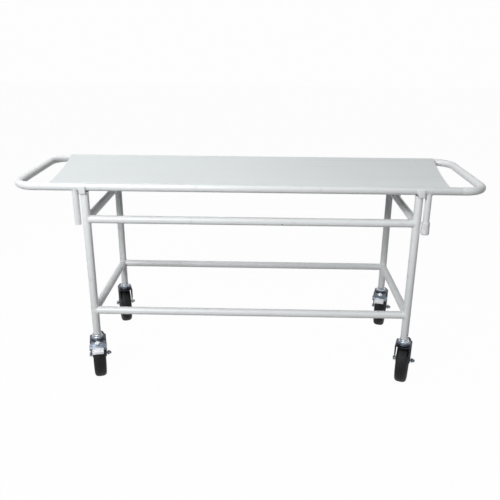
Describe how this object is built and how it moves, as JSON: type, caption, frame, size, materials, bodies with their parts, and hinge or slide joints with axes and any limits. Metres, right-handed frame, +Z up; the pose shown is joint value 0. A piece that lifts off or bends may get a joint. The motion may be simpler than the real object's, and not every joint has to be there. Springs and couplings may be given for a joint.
{
  "type": "stretcher trolley",
  "caption": "Hospital stretcher with a dished sheet-metal top and handle bows, lifting off a tubular trolley on swivel castors with brakes.",
  "frame": {"origin": "on the floor under the middle of the object's bounding box", "axes": "+X to the right along the length, +Y to the back, +Z up; the braked castor nearest the front is at -X, -Y"},
  "size_m": [1.8754, 0.7914, 0.8934],
  "materials": {
    "powder_coat": "white powder coat on round steel tube, satin",
    "sheet_coat": "pale grey-white powder-coated sheet, satin",
    "ferrule": "off-white moulded rubber, matt",
    "zinc": "zinc-plated pressed steel",
    "bright_zinc": "bright zinc-plated turned steel",
    "tyre": "black rubber, matt",
    "wheel_centre": "dark grey moulded wheel centre",
    "pedal": "bright plated pressed steel pedal"
  },
  "bodies": {
    "trolley": {"leg_front_left": "powder_coat", "rail_saddle_front_left": "powder_coat", "leg_front_right": "powder_coat", "rail_saddle_front_right": "powder_coat", "leg_back_left": "powder_coat", "rail_saddle_back_left": "powder_coat", "leg_back_right": "powder_coat", "rail_saddle_back_right": "powder_coat", "upper_rail_front": "powder_coat", "upper_rail_back": "powder_coat", "upper_rail_left": "powder_coat", "upper_rail_right": "powder_coat", "lower_rail_front": "powder_coat", "lower_rail_back": "powder_coat", "lower_rail_left": "powder_coat", "lower_rail_right": "powder_coat", "castor_stem_front_left": "bright_zinc", "castor_stem_front_right": "bright_zinc", "castor_stem_back_left": "bright_zinc", "castor_stem_back_right": "bright_zinc"},
    "stretcher": {"stretcher_rail_front": "powder_coat", "stretcher_rail_back": "powder_coat", "handle_bow_left": "powder_coat", "handle_bow_right": "powder_coat", "sheet_top": "sheet_coat", "cross_brace_1": "powder_coat", "cross_brace_2": "powder_coat", "cross_brace_3": "powder_coat", "stub_leg_front_left": "powder_coat", "stub_leg_front_right": "powder_coat", "stub_shoe_front_right": "ferrule", "stub_leg_back_left": "powder_coat", "stub_shoe_back_left": "ferrule", "stub_leg_back_right": "powder_coat", "stub_shoe_back_right": "ferrule"},
    "castor_front_left": {"castor_fork_front_left": "zinc", "axle_bolt_front_left": "bright_zinc", "axle_nut_front_left": "bright_zinc", "pedal_pin_front_left": "bright_zinc"},
    "wheel_front_left": {"wheel_centre_front_left": "wheel_centre", "tyre_front_left": "tyre"},
    "pedal_front_left": {"brake_pedal_front_left": "pedal"},
    "castor_front_right": {"castor_fork_front_right": "zinc", "axle_bolt_front_right": "bright_zinc", "axle_nut_front_right": "bright_zinc"},
    "wheel_front_right": {"wheel_centre_front_right": "wheel_centre", "tyre_front_right": "tyre"},
    "castor_back_left": {"castor_fork_back_left": "zinc", "axle_bolt_back_left": "bright_zinc", "axle_nut_back_left": "bright_zinc"},
    "wheel_back_left": {"wheel_centre_back_left": "wheel_centre", "tyre_back_left": "tyre"},
    "castor_back_right": {"castor_fork_back_right": "zinc", "axle_bolt_back_right": "bright_zinc", "axle_nut_back_right": "bright_zinc", "pedal_pin_back_right": "bright_zinc"},
    "wheel_back_right": {"wheel_centre_back_right": "wheel_centre", "tyre_back_right": "tyre"},
    "pedal_back_right": {"brake_pedal_back_right": "pedal"}
  },
  "joints": [
    {"name": "stretcher_lift", "type": "slide", "parent": "trolley", "child": "stretcher", "axis": [0, 0, 1], "range_m": [0, 0.25]},
    {"name": "swivel_front_left", "type": "hinge", "parent": "trolley", "child": "castor_front_left", "pos_m": [-0.64, -0.30411, 0.215], "axis": [0, 0, 1], "continuous": true},
    {"name": "wheel_spin_front_left", "type": "hinge", "parent": "castor_front_left", "child": "wheel_front_left", "pos_m": [-0.65708, -0.24036, 0.1], "axis": [0.9659, 0.2588, 0], "continuous": true},
    {"name": "brake_press_front_left", "type": "hinge", "parent": "castor_front_left", "child": "pedal_front_left", "pos_m": [-0.63482, -0.32343, 0.188], "axis": [0.9659, 0.2588, 0], "range_deg": [0, 12]},
    {"name": "swivel_front_right", "type": "hinge", "parent": "trolley", "child": "castor_front_right", "pos_m": [0.662, -0.30411, 0.215], "axis": [0, 0, 1], "continuous": true},
    {"name": "wheel_spin_front_right", "type": "hinge", "parent": "castor_front_right", "child": "wheel_front_right", "pos_m": [0.68239, -0.24134, 0.1], "axis": [0.9511, -0.309, 0], "continuous": true},
    {"name": "swivel_back_left", "type": "hinge", "parent": "trolley", "child": "castor_back_left", "pos_m": [-0.64, 0.23314, 0.215], "axis": [0, 0, 1], "continuous": true},
    {"name": "wheel_spin_back_left", "type": "hinge", "parent": "castor_back_left", "child": "wheel_back_left", "pos_m": [-0.66149, 0.29554, 0.1], "axis": [0.9455, 0.3256, 0], "continuous": true},
    {"name": "swivel_back_right", "type": "hinge", "parent": "trolley", "child": "castor_back_right", "pos_m": [0.662, 0.23314, 0.215], "axis": [0, 0, 1], "continuous": true},
    {"name": "wheel_spin_back_right", "type": "hinge", "parent": "castor_back_right", "child": "wheel_back_right", "pos_m": [0.68019, 0.29658, 0.1], "axis": [0.9613, -0.2756, 0], "continuous": true},
    {"name": "brake_press_back_right", "type": "hinge", "parent": "castor_back_right", "child": "pedal_back_right", "pos_m": [0.65649, 0.21391, 0.188], "axis": [0.9613, -0.2756, 0], "range_deg": [0, 12]}
  ]
}
